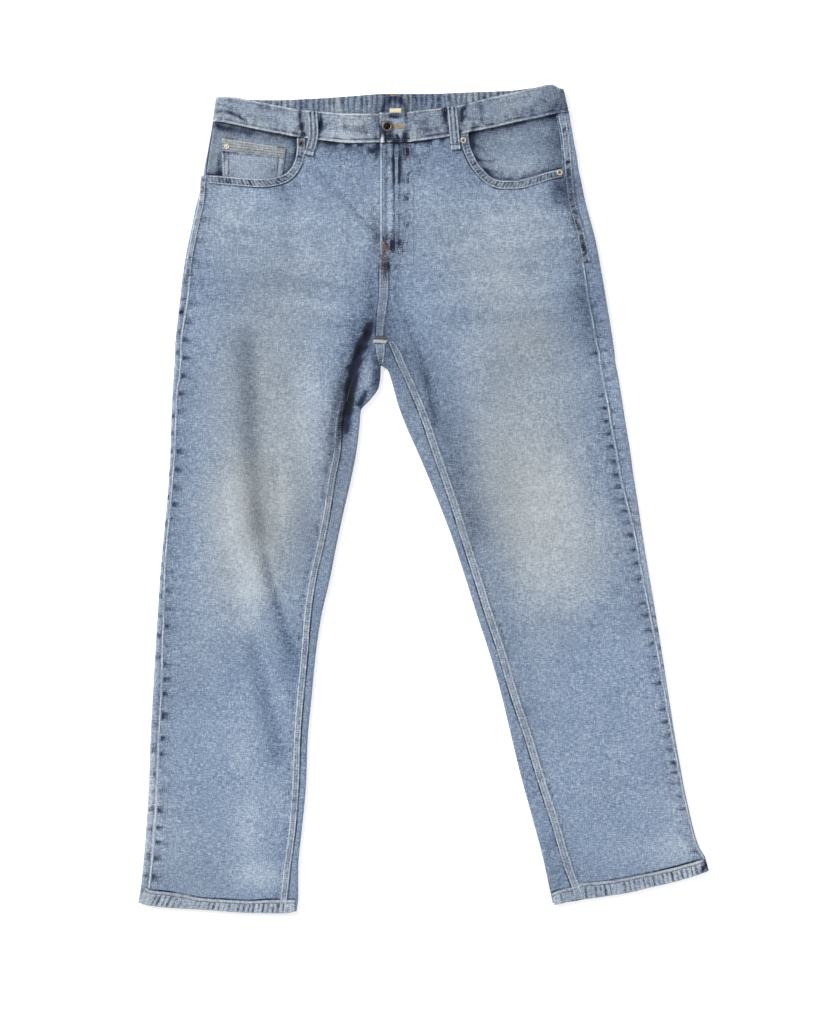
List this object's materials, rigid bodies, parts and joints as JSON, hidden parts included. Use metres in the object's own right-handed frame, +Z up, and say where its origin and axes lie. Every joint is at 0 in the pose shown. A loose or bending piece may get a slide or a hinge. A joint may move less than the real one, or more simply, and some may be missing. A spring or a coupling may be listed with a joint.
{
  "type": "slim fit jeans",
  "caption": "Slim fit denim jeans in a light blue wash, laid flat with the front up, waist buttoned and fly closed.",
  "frame": {"origin": "centre of the laid garment's box, on the surface it lies on", "axes": "+Y up the garment to the waist, +X to the wearer's left, +Z up from the surface, out of the front"},
  "size_m": [0.726, 1.052, 0.0154],
  "materials": {
    "denim": "light blue washed twill, matt, faded at thigh and knee",
    "denim_band": "light blue washed twill, stitched through",
    "denim_pocket": "light blue washed twill, matt",
    "zip_tape": "woven tape",
    "label_cloth": "plain woven cream tape",
    "button_metal": "dark antique metal with a worn ring",
    "rivet_metal": "silver, slightly dull"
  },
  "bodies": {
    "root": {"front_right": "denim", "front_left": "denim", "back_right": "denim", "back_left": "denim", "yoke_right": "denim", "yoke_left": "denim", "facing_right": "denim_pocket", "facing_left": "denim_pocket", "coin_pocket": "denim_pocket", "waistband": "denim_band", "fly_shield": "denim_band", "zip": "zip_tape", "pocket_back_right": "denim_pocket", "pocket_back_left": "denim_pocket", "loop_front_right": "denim_band", "loop_front_left": "denim_band", "loop_back_right": "denim_band", "loop_back_centre": "denim_band", "loop_back_left": "denim_band", "inner_label": "label_cloth", "waist_button": "button_metal", "rivet_mouth_right": "rivet_metal", "rivet_coin": "rivet_metal", "rivet_mouth_left": "rivet_metal", "rivet_side_left": "rivet_metal"}
  },
  "joints": []
}
